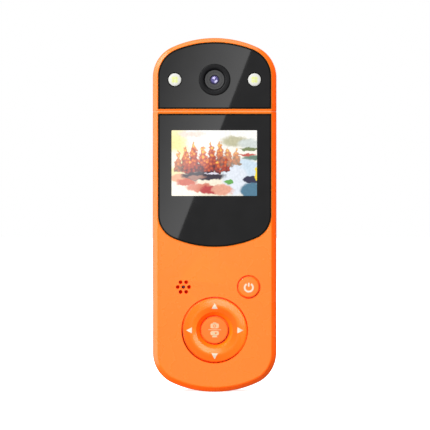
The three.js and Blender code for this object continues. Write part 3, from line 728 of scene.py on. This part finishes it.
sound_places = [(speaker_x, speaker_z)] + circle(speaker_x, speaker_z, SOUND["ring"], 6)
body_cutters = [
    recess("screen_recess", SCREEN_WINDOW),
    prism("display_way", [rounded(12, 9.4, 0.5, (display_x, display_z))], FRONT, FRONT + 3),
    bore("nav_bore", NAV_RADIUS + RUN, nav_at),
    bore("power_bore", POWER_RADIUS + RUN, power_at),
    hub_hole("body_hub_hole"),
    prism("port_way", [rounded(port_half.y + 0.25, port_half.z + 0.25, 1.6, (port.y, port.z))],
          *THROUGH_RIGHT, "X"),
    prism("card_way", [rounded(0.75, 5.75, 0.3, (card.y, card.z))], *THROUGH_LEFT, "X"),
    plug("reset_way", 0.6, *THROUGH_LEFT, (reset.y, reset.z), "X", 32),
]
for i, place in enumerate(sound_places):
    body_cutters.append(bore(f"sound_{i}", SOUND["hole"], place, flare=0.05, steps=24))
shell("body_front", "case", -1, body_cutters)

head_cutters = [recess("head_recess", HEAD_WINDOW), bore("lens_bore", 4.4, lens_at)]
head_cutters += [bore("lamp_bore_" + side, 2.2, place) for side, place in lamps.items()]
shell("head_front", "head", -1, head_cutters + [hub_hole("head_hub_hole")])

for name, body in (("body_back", "case"), ("head_back", "head")):
    shell(name, body, 1, [hub_hole(name + "_hub_hole")] + [screw_way(screw) for screw in SCREWS[body]])

# A plate in the seam whose pale colour is a painted highlight line between the case and the head.
seam_highlight_loops = [section(-0.05), circle(0, 0, HUB_RADIUS, 48)[::-1]]
seam_highlight = prism("seam_highlight_plate", seam_highlight_loops, BODY_TOP + 0.04, HEAD_BOTTOM - 0.04, "Z")
in_frame(seam_highlight, "case", "seam_highlight", sharp=60)


# ---- Windows and display ----
def gasket(name, body, span):
    """The black seal in the gap round a window, just below its face, and the burnt orange ring of painted
    shade round it.
    """
    seal = [window_outline(span, 0.01), window_outline(span, 1.0)[::-1]]
    in_frame(prism(name, seal, FRONT + 0.1, FRONT + 0.6), body, "gasket")
    # The burnt orange ring round the seal is painted shade.
    shade_ring = [window_outline(span, 0.01 - SHADE_RING_WIDTH), window_outline(span, 0)[::-1]]
    in_frame(prism(name + "_shade_ring", shade_ring, FRONT + 0.06, FRONT + 0.6), body, "shade_ring")


def window(name, body, span, node, cutters):
    """A flat black window with a fine soft edge."""
    levels = ((0.12, FRONT), (0.03, FRONT + 0.04), (0.0, FRONT + 0.13), (0.0, FRONT + 0.5),
              (0.8, FRONT + 0.5), (0.8, FRONT + 0.9))
    plate = stacked(name, lambda inset: window_outline(span, WINDOW_GAP + inset), levels)
    in_frame(combined(plate, cutters), body, "window", [node], sharp=20)


def picture_outline(grow):
    at = (display_x + PICTURE["across"], display_z + PICTURE["up"])
    return rounded(PICTURE["half_width"] + grow, PICTURE["half_height"] + grow, PICTURE["corner"], at, 3)


gasket("screen_gasket", "case", SCREEN_WINDOW)
gasket("head_gasket", "head", HEAD_WINDOW)
picture_way = prism("picture_way", [picture_outline(0.02)], FRONT - 1, FRONT + 2)
window("screen", "case", SCREEN_WINDOW, "screen_window", [picture_way])
in_frame(prism("display", [picture_outline(0)], FRONT + 0.01, -5.1), "case", "display", ["display_panel"])
head_ways = [plug("lens_way", 4.09, -9, -5, lens_at)]
head_ways += [plug("lamp_way_" + side, 1.9, -9, -5, place) for side, place in lamps.items()]
window("head_glass", "head", HEAD_WINDOW, "head_window", head_ways)


# ---- Lens and lamps ----
def cap(radius, edge, rise, steps):
    """The profile of a domed front, from its middle to just inside its edge."""
    angles = [pi / 2 * i / steps for i in range(steps)]
    return [(radius * sin(a), edge - rise * cos(a)) for a in angles]


bezel_profile = [(2.9, -5.6), (4.0, -5.6), (4.0, -7.08), (3.93, -7.18), (3.8, -7.24), (3.62, -7.25),
                 (3.2, -7.22), (2.95, -7.12), (2.76, -6.95), (2.66, -6.7), (2.66, -6.3), (2.9, -6.2)]
bezel = turned("bezel", bezel_profile, lens_at, closed=True)
in_frame(bezel, "head", "bezel", ["lens_bezel"], sharp=50)
barrel_profile = [(1.2, -3.4), (2.56, -3.4), (2.56, -6.5), (2.5, -6.58), (2.36, -6.6), (2.02, -6.6),
                  (1.98, -6.54), (1.94, -6.54), (1.9, -6.6), (1.3, -6.56), (1.2, -6.46)]
barrel = turned("barrel", barrel_profile, lens_at, closed=True)
in_frame(barrel, "head", "grey_barrel", ["lens_barrel"])
glass_profile = cap(1.16, -6.14, 0.48, 12) + [(1.16, -6.1), (1.16, -5.2), (0, -5.2)]
glass = turned("lens_front_glass", glass_profile, lens_at, steps=64)
in_frame(glass, "head", "lens_glass", ["lens_glass"])

lamp_profile = cap(1.64, -6.84, 0.24, 8) + [(1.66, -6.8), (1.66, -4.9), (2.0, -4.9), (2.0, -4.2), (0, -4.2)]
seat_profile = [(1.69, -6.2), (1.88, -6.2), (1.88, -6.9), (1.69, -6.78)]
for side, place in lamps.items():
    lamp = turned("lamp_lens_" + side, lamp_profile, place, steps=64)
    in_frame(lamp, "head", lamp_material("lamp_" + side), ["lamp_" + side])
    in_frame(turned("lamp_seat_" + side, seat_profile, place, closed=True, steps=64), "head", "gasket")


# ---- Keys ----
def ring_face(radius):
    """Where the four-way key's face is, in y, at a radius: it falls outward and inward from a soft crest."""
    slope = 0.31 if radius >= CREST else 0.42
    soft = 0.13
    return -7.76 + hypot(slope * (radius - CREST), soft) - soft


side = NAV_RADIUS
ring_profile = [(5.2, -4.4), (9.3, -4.4), (9.3, -5.0), (side, -5.0), (side + COLLAR, -5.6),
                (side + COLLAR, LEDGE), (side, LEDGE - 0.04), (side, -7.0), (side - 0.03, -7.12),
                (side - 0.1, -7.2)]
for i in range(27):
    radius = RIM - (RIM - BREAK) * i / 26
    ring_profile.append((radius, ring_face(radius)))
ring_profile += [(BREAK, -5.4), (5.2, -5.4)]
ring = turned("four_way_key", ring_profile, nav_at, closed=True, steps=128)
in_frame(ring, "nav_ring", "orange_ring", ["nav_ring"], sharp=50)

# The bowl round the OK key: a trim ring set into the four-way key.
bowl_top = ring_face(BREAK) + 0.01
bowl_width = BOWL["edge"] - BOWL["lip"]
bowl_profile = [(BOWL["edge"], -5.45), (BOWL["edge"], bowl_top)]
for i in range(1, 13):
    share = i / 12
    fall = BOWL["fall"] * bowl_width * (share - 0.12 * share ** 2)
    bowl_profile.append((BOWL["edge"] - bowl_width * share, bowl_top + fall))
bowl_front = bowl_profile[-1][1]
bowl_profile += [(3.8, bowl_front + 0.08), (BOWL["bore"], bowl_front + 0.16), (BOWL["bore"], -5.45)]
bowl = turned("key_bowl", bowl_profile, nav_at, closed=True, steps=128)
in_frame(bowl, "nav_ring", "orange_ring", sharp=50)


def round_key(node, radius, at, front, soft, crown, skirt, ledge):
    """A round key with a soft edge, a barely crowned face and a ledge low down in the gap round it.
    skirt is its radius, front and back inside the case."""
    back = box_mm(node)[1].y
    profile = [(0, front)] + [(radius * share, front + crown * share ** 2) for share in (0.3, 0.6, 0.8)]
    for i in range(7):
        tilt = pi / 2 * i / 6
        profile.append((radius - soft + soft * sin(tilt), front + crown + soft * (1 - cos(tilt))))
    profile += [(radius, ledge - 0.04), (radius + COLLAR, ledge), (radius + COLLAR, ledge + 0.3),
                (radius, ledge + 0.4), (radius, skirt[1]), (skirt[0], skirt[1]), (skirt[0], skirt[2]),
                (2.0, skirt[2]), (2.0, back), (0, back)]
    return turned(node.replace("button", "key"), profile, at)


power_face = box_mm("power_button")[0].y
ok_key = round_key("ok_button", OK_RADIUS, nav_at, OK_FACE, 0.22, 0.05, (4.8, -5.12, -4.6), -5.9)
in_frame(ok_key, "ok_button", "orange_ok_shaded", ["ok_button"], sharp=50)
power_key = round_key("power_button", POWER_RADIUS, power_at, power_face, 0.3, 0.06, (3.8, -5.2, -4.6),
                      LEDGE)
in_frame(power_key, "power_button", "orange_key", ["power_button"], sharp=50)


# ---- Printed marks ----
def arrow(name, turn, at_radius, half=0.78, height=1.5, rows=8):
    """A triangle pointing outward, laid on the curved face of the four-way key."""
    rings = []
    for i in range(rows + 1):
        share = i / rows
        v = at_radius - height / 2 + height * share
        across = [(2 * j / rows - 1) * half * (1 - share) for j in range(rows + 1)]
        outline = []
        for u, layer in [(u, -INK) for u in across] + [(u, INK) for u in reversed(across)]:
            x, z = u * cos(turn) - v * sin(turn), u * sin(turn) + v * cos(turn)
            outline.append((nav_at[0] + x, ring_face(hypot(u, v)) + layer, nav_at[1] + z))
        rings.append(outline)
    return loft(name, rings)


def on_ok(across, up):
    return nav_at[0] + across, nav_at[1] + up


def ok_mark(name, *loops):
    return prism(name, loops, OK_FACE - INK, OK_FACE + 0.06)


arrows = joined("arrows", [arrow("arrow_up", 0, 6.3), arrow("arrow_left", pi / 2, 6.6),
                           arrow("arrow_down", pi, 6.7), arrow("arrow_right", -pi / 2, 6.6)])
in_frame(arrows, "nav_ring", "cream", sharp=60)

# A broken ring with a bar in its gap.
gap = radians(32)
arc_from, arc_to = pi / 2 + gap, pi * 2.5 - gap
ring_x, ring_z = power_at[0], power_at[1] - 0.12
power_arc = arc(ring_x, ring_z, 1.29, arc_from, arc_to, 40) + arc(ring_x, ring_z, 0.83, arc_to, arc_from, 40)
power_bar = rounded(0.2, 0.5, 0.12, (power_at[0], power_at[1] + 0.62), 4)
power_mark = joined("power_mark", [prism("power_part", [loop], power_face - INK, power_face + 0.1)
                                   for loop in (power_arc, power_bar)])
in_frame(power_mark, "power_button", "cream", sharp=60)

# A still camera, a rule and a film camera.
camera_marks = joined("camera_marks", [
    ok_mark("still_body", rounded(1.06, 0.62, 0.3, on_ok(0, 1.12), 5),
            circle(*on_ok(0, 1.1), 0.42, 24)[::-1]),
    ok_mark("still_hump", [on_ok(-0.55, 1.7), on_ok(0.55, 1.7), on_ok(0.36, 2.0), on_ok(-0.36, 2.0)]),
    ok_mark("still_lens", circle(*on_ok(0, 1.1), 0.22, 20)),
    ok_mark("rule", rounded(1.65, 0.07, 0.06, on_ok(0, 0.12), 3)),
    ok_mark("film_body", rounded(1.12, 0.56, 0.5, on_ok(0, -0.75), 6),
            circle(*on_ok(0.3, -0.75), 0.24, 20)[::-1]),
    ok_mark("film_foot", [on_ok(-0.75, -1.82), on_ok(0.75, -1.82), on_ok(0.4, -1.25), on_ok(-0.4, -1.25)]),
])
in_frame(camera_marks, "ok_button", "peach", sharp=60)

# ---- Dark red backing behind the holes of the ring: painted shade inside the holes ----
sound_hole_shade = joined("sound_hole_shade", [
    plug(f"cloth_{i}", SOUND["hole"] + 0.02, FRONT + 0.2, FRONT + 0.5, place, steps=20)
    for i, place in enumerate(sound_places[1:])])
in_frame(sound_hole_shade, "case", "mesh")


# ---- Screws ----
def crossed_screw(name, body):
    """A pan-headed screw with a cross recess, from the CAD screw's tip to the top of its head."""
    low, high = box_mm(name)
    at = front_view(name)
    head = (high.x - low.x) / 2
    shank, seat, top = head * 0.47, high.y - 0.8, high.y
    profile = [(0, low.y), (shank, low.y + 0.4), (shank, seat), (head, seat), (head, top - 0.34),
               (head - 0.08, top - 0.16), (head - 0.25, top - 0.04), (head - 0.5, top), (0, top)]
    screw = turned(name + "_shape", profile, at, steps=48)
    far, near = head * 0.66, head * 0.14
    corners = [(far, near), (near, near), (near, far)]
    for _ in range(3):
        corners += [(-v, u) for u, v in corners[-3:]]
    cross = prism(name + "_way", [[(at[0] + u, at[1] + v) for u, v in corners]], top - 0.4, top + 1)
    in_frame(combined(screw, [cross]), body, "dark_steel", [name], sharp=35)


for body, names in SCREWS.items():
    for name in names:
        crossed_screw(name, body)


# ---- Clip, drawn round its pin ----
pin = centre_mm("clip_pin")


def across_pin(name, radius, low, high):
    return plug(name, radius, low, high, (pin.y, pin.z), "X", 48)


side_shape = [(ARM_INNER, ARM_TOP), (ARM_FACE, ARM_TOP), (ARM_FACE, JAW + 3)]
bend(side_shape, (ARM_FACE, JAW), (ARM_FACE - 1.8, JAW))
bend(side_shape, (TOOTH, JAW), (TOOTH, JAW + 2.2))
bend(side_shape, (TOOTH, JAW + 3.4), (ARM_INNER, JAW + 6))
face_shape = arc(ARM_HALF - 5, JAW + 5, 5, -pi / 2, 0, 12) + [(ARM_HALF, -10)]
bend(face_shape, (HINGE_HALF + 0.2, -9), (HINGE_HALF, -7))
face_shape += arc(HINGE_HALF - 2, ARM_TOP - 2, 2, 0, pi / 2, 8)
face_shape += [(-x, z) for x, z in reversed(face_shape)]
arm = prism("arm", [[(pin.y + y, pin.z + z) for y, z in side_shape]], -ARM_HALF, ARM_HALF, "X")
combined(arm, [prism("arm_face", [[(x, pin.z + z) for x, z in face_shape]], 0, 20)], "INTERSECT")
softened(arm, 0.24)
combined(arm, [across_pin("knuckle_left", KNUCKLE, 0.05 - HINGE_HALF, -3),
               across_pin("knuckle_right", KNUCKLE, 3, HINGE_HALF - 0.05)], "UNION")
combined(arm, [prism("spring_way", [rounded(2.9, 2.6, 0.5, (0, pin.z))], 0, 20),
               across_pin("arm_pin_way", PIN_RADIUS + 0.1, -9, 9)])
in_frame(arm, "clip_arm", "black_plastic", ["clip_arm"])

raised = (pin.y + ARM_FACE - 0.1, pin.y + ARM_BACK)
grip_ribs = [rounded(4.1, 0.28, 0.26, (0, pin.z + 3.9 + 1.05 * i), 6) for i in range(5)]
grip = [prism(f"grip_{i}", [rib], *raised) for i, rib in enumerate(grip_ribs)]
in_frame(softened(joined("arm_grip", grip), 0.07), "clip_arm", "black_plastic")
panel = prism("arm_panel", [rounded(4.3, 9.6, 2.2, (0, pin.z - 20.4), 8)], *raised)
in_frame(softened(panel, 0.1), "clip_arm", "black_plastic")

pad_low, pad_high = box_mm("clip_pad")
groove = pad_low.y + 0.22
teeth = [(pad_high.y, pad_low.z), (pad_high.y, pad_high.z)]
for i in range(TEETH, 0, -1):
    top = pad_low.z + (pad_high.z - pad_low.z) * i / TEETH
    teeth += [(groove, top), (pad_low.y, top - 0.25), (pad_low.y, top - 0.7)]
teeth.append((groove, pad_low.z))
in_frame(prism("ribbed_pad", [teeth], pad_low.x, pad_high.x, "X"), "clip_arm", "rubber", ["clip_pad"])

bracket_low, bracket_high = box_mm("clip_bracket")
foot = bracket_low.y
foot_z, foot_half = (bracket_high.z + bracket_low.z) / 2, (bracket_high.z - bracket_low.z) / 2
base = prism("bracket", [rounded(bracket_high.x, foot_half, 1.2, (0, foot_z))], foot, foot + 1)
softened(base, 0.18)
ear_foot = [(foot + 0.4, pin.z - KNUCKLE - 1), (pin.y - 0.6, pin.z - KNUCKLE + 0.1),
            (pin.y, pin.z - KNUCKLE), (pin.y, pin.z + KNUCKLE), (foot + 0.4, pin.z + KNUCKLE + 0.3)]
ears = []
for low, high in ((-EAR[1], -EAR[0]), EAR):
    ears += [across_pin("ear", KNUCKLE, low, high), prism("ear_foot", [ear_foot], low, high, "X")]
combined(base, ears, "UNION")
combined(base, [prism("bracket_way", [rounded(5.8, 2.2, 0.4, (0, pin.z))], foot - 1, pin.y),
                across_pin("bracket_pin_way", PIN_RADIUS + 0.1, -9, 9)])
in_frame(base, "case", "black_plastic", ["clip_bracket"])

half_pin = [(0, 8.2), (0.75, 8.2), (1.05, 8.13), (1.2, 7.98), (1.2, 7.78), (1.14, 7.7), (PIN_RADIUS, 7.7)]
pin_profile = half_pin + [(r, -x) for r, x in reversed(half_pin)]
hinge_pin = turned("hinge_pin", pin_profile, (pin.y, pin.z), "X", 48)
in_frame(hinge_pin, "case", "steel", ["clip_pin"], sharp=60)

# The coil has 24 points to a turn and a quarter turn more, and starts in a straight leg.
last = COIL_TURNS * 24 + 6
coil = []
for i in range(last + 1):
    angle = tau * i / 24 + pi
    y, z = COIL_RADIUS * cos(angle), COIL_RADIUS * sin(angle)
    coil.append(Vector((COIL_HALF * (2 * i / last - 1), pin.y + y, pin.z + z)))
start = coil[0].y
fixed_leg = [Vector((-COIL_HALF, start + 0.15, pin.z - LEG)), Vector((-COIL_HALF, start, pin.z - 0.4))]
in_frame(wire("spring_coil", fixed_leg + coil, WIRE), "case", "steel", ["clip_spring"], sharp=80)
leg = [Vector((COIL_HALF, pin.y + 0.02, pin.z - z)) for z in (1.2, 3, LEG)]
in_frame(wire("spring_leg", leg, WIRE - 0.02), "clip_arm", "steel", sharp=80)

# ---- Memory card ----
card_low, card_high = box_mm("memory_card")
left, right, bottom, top = card_low.x, card_high.x, card_low.z, card_high.z
card_shape = [(left, bottom + 0.4), (left + 0.4, bottom), (right - 5.4, bottom), (right - 4.6, bottom + 0.8),
              (right - 3.2, bottom + 0.8), (right - 2.6, bottom + 1.3), (right - 0.4, bottom + 1.3),
              (right, bottom + 1.7), (right, top - 0.4), (right - 0.4, top), (left + 0.4, top),
              (left, top - 0.4)]
card_body = softened(prism("card_body", [card_shape], card_low.y + 0.1, card_high.y - 0.12), 0.06)
card_lip = prism("card_lip", [rounded(0.55, 5.0, 0.3, (left + 0.75, card.z), 4)], card_low.y + 0.3,
                 card_high.y - 0.02)
combined(card_body, [card_lip], "UNION")
in_frame(card_body, "memory_card", "chip", ["memory_card"])
contacts = []
for i in range(CONTACTS):
    outline = rounded(1.45, 0.36, 0.2, (right - 2.0, card.z - 3.2 + 1.1 * i), 3)
    contacts.append(prism(f"contact_{i}", [outline], card_high.y - 0.2, card_high.y - 0.08))
in_frame(joined("card_contacts", contacts), "memory_card", "contact", sharp=60)

# ---- CAD nodes that stay ----
KEPT_FINISH = {
    "steel": ["usb_port_shell", "card_socket", "swivel_retaining_ring", "wave_washer", "display_frame"],
    "black_plastic": ["usb_port_tongue", "sensor_holder", "flex_connector", "head_connector", "nav_rocker",
                      "reset_button", "swivel_hub"],
    "dark_steel": ["speaker"],
    "circuit_board": ["main_board", "head_board"],
    "chip": ["processor_chip", "memory_chip", "microphone", "image_sensor", "nav_switch_up",
             "nav_switch_down", "nav_switch_left", "nav_switch_right", "ok_switch", "power_switch",
             "reset_switch"],
    "cell": ["battery"],
    "flex": ["camera_flex", "display_flex"],
}
for finish, names in KEPT_FINISH.items():
    for name in names:
        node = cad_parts[name]
        node.data.materials.clear()
        node.data.materials.append(materials[finish])

# ---- Floor, light and camera ----
floor = prism("floor", [circle(0, 0, 4000, 64)], -5, 0, "Z")
floor.data.transform(Matrix.Translation((0, 0, ORIGIN.z)) @ Matrix.Scale(MM, 4))
floor_finish, floor_tree = new_material("floor")
paper = floor_tree.node("BsdfDiffuse", {"Color": (0.8, 0.8, 0.8, 1)})
lift = floor_tree.node("Emission", {"Strength": 0.75})
floor_tree.output(floor_tree.node("AddShader", {0: paper.outputs[0], 1: lift.outputs[0]}))
floor.data.materials.append(floor_finish)
floor.visible_diffuse = floor.visible_glossy = floor.visible_transmission = False
floor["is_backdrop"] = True

TARGET = Vector((0, ORIGIN.y + FRONT * MM, ORIGIN.z + 45.8 * MM))
CAMERA_DISTANCE = 0.6
LIGHT_DISTANCE = 0.9
REFLECTOR_DISTANCE = 0.6


def softbox(name, direction, size, level):
    """A square area light that gives a facing white surface this level."""
    data = bpy.data.lights.new(name, "AREA")
    data.size = size
    data.energy = level * (pi * LIGHT_DISTANCE) ** 2
    light = bpy.data.objects.new(name, data)
    away = Vector(direction).normalized()
    light.location = TARGET + away * LIGHT_DISTANCE
    light.rotation_mode = "QUATERNION"
    light.rotation_quaternion = away.to_track_quat("Z", "Y")
    scene.collection.objects.link(light)
    light.visible_camera = False
    light.visible_glossy = False
    return light


def linked(light, piece, state):
    """Makes a light reach only one piece (INCLUDE) or everything else (EXCLUDE)."""
    lit = bpy.data.collections.new(light.name + "_lit")
    lit.objects.link(piece)
    lit.collection_objects[0].light_linking.link_state = state
    light.light_linking.receiver_collection = lit


# The four-way key is lit from the upper right, the rest from the upper left.
linked(softbox("key", (-0.41, -0.78, 0.47), 0.4, 2.3), ring, "EXCLUDE")
linked(softbox("key_light", (0.36, -0.68, 0.64), 0.4, 2.45), ring, "INCLUDE")
softbox("back_fill", (0.5, 0.75, 0.45), 0.6, 1.1)


def only_reflected(card, material):
    """Makes a card show in reflections and nowhere else."""
    card.data.materials.append(material)
    card.visible_camera = card.visible_diffuse = card.visible_transmission = card.visible_shadow = False
    card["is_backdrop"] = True


def reflector(name, direction, half_width, half_height, strength):
    """A glowing card that only shows in reflections."""
    away = Vector(direction).normalized()
    turn = away.to_track_quat("Z", "Y").to_matrix().to_4x4()
    corners = [(su * half_width, sv * half_height, 0) for su, sv in ((-1, -1), (1, -1), (1, 1), (-1, 1))]
    card = mesh_object(name, corners, [(0, 1, 2, 3)])
    card.data.transform(Matrix.Translation(TARGET + away * REFLECTOR_DISTANCE) @ turn)
    finish, tree = new_material(name)
    tree.output(tree.node("Emission", {"Color": (1, 1, 1, 1), "Strength": strength}))
    only_reflected(card, finish)
    return card


reflector("reflector_left", (-1, -0.05, 0.05), 0.35, 0.35, 2.8)
reflector("reflector_top", (0, -0.1, 1), 0.3, 0.3, 1.9)
reflector("reflector_corner", (-0.72, -0.08, 0.69), 0.17, 0.17, 6.0)
linked(reflector("reflector_above", (0.22, -0.82, 0.54), 0.24, 0.14, 10.4), ring, "INCLUDE")
linked(reflector("reflector_side", (0.65, -0.72, 0.24), 0.13, 0.13, 9), ring, "INCLUDE")

# The pale shape that lies across the windows: a card in front of the object, with a slanted edge.
CARD_DISTANCE = 0.3
CARD_LEFT, CARD_LOW, CARD_HIGH = -17, 34, 93
SLOPE, MIDDLE = 0.39, 64.2
DIM, BRIGHT, FADE = 1.8, 5.0, 30
EYE = Vector((0.09 * MM, 0, ORIGIN.z + 45.79 * MM))


def mirrored(x, z):
    """Where a card has to be for the camera to see it at (x, z) of the windows, in the frame."""
    grow = 1 + CARD_DISTANCE / CAMERA_DISTANCE
    at = Vector((x * MM, 0, ORIGIN.z + z * MM))
    return Vector((EYE.x + (at.x - EYE.x) * grow, TARGET.y - CARD_DISTANCE, EYE.z + (at.z - EYE.z) * grow))


def slanted(z):
    """The card's slanted edge, at a height on the windows."""
    return mirrored(SLOPE * (z - MIDDLE), z)


card_corners = [mirrored(CARD_LEFT, CARD_LOW), slanted(CARD_LOW), slanted(CARD_HIGH),
                mirrored(CARD_LEFT, CARD_HIGH)]
window_card = mesh_object("window_card", card_corners, [(0, 1, 2, 3)])
card_finish, card_tree = new_material("window_card")
card_x, _, card_z = card_tree.split(card_tree.place())
reference = slanted(MIDDLE)
past_edge = card_tree.minus(card_x, card_tree.times(card_z, SLOPE))
past_edge = card_tree.minus(past_edge, reference.x - SLOPE * reference.z)
level = card_tree.between(past_edge, -FADE * MM, 0, DIM, BRIGHT, "LINEAR")
card_tree.output(card_tree.node("Emission", {"Strength": level}))
only_reflected(window_card, card_finish)

# The world: white to the camera, an even light that falls off to the right and below, and in reflections a
# bright patch ahead and a dim one behind.
world = bpy.data.worlds.new("studio")
scene.world = world
sky = Tree(world)
toward_x, toward_y, toward_z = sky.split(sky.node("TexCoord").outputs["Generated"])
rays = sky.node("LightPath").outputs
ambient = sky.plus(sky.times(toward_x, -0.15), 0.92)
ambient = sky.times(ambient, sky.between(toward_x, 0.6, 0.88, 1.0, 0.4))
ambient = sky.times(ambient, sky.between(toward_z, -0.6, -0.88, 1.0, 0.35))
shine = sky.plus(sky.between(toward_y, -0.89, -0.97), sky.between(toward_y, 0.3, 0.9, 0.0, 0.6))
level = sky.mix_value(rays["Is Glossy Ray"], ambient, shine)
level = sky.mix_value(rays["Is Camera Ray"], level, 1.0)
background = sky.node("Background", {"Color": (1, 1, 1, 1), "Strength": level})
sky.output(background, "OutputWorld")
if hasattr(world, "cycles"):
    world.cycles.sampling_method = "NONE"

FRAME_WIDTH = 110.95
SENSOR = 36
lens_data = bpy.data.cameras.new("camera")
lens_data.sensor_width = SENSOR
lens_data.lens = SENSOR * CAMERA_DISTANCE / (FRAME_WIDTH * MM)
lens_data.clip_start, lens_data.clip_end = 0.01, 20
camera = bpy.data.objects.new("camera", lens_data)
camera.location = (EYE.x, TARGET.y - CAMERA_DISTANCE, EYE.z)
camera.rotation_euler = (pi / 2, 0, 0)
scene.collection.objects.link(camera)
bpy.context.scene.camera = camera
scene.view_settings.view_transform = "Standard"

low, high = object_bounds()
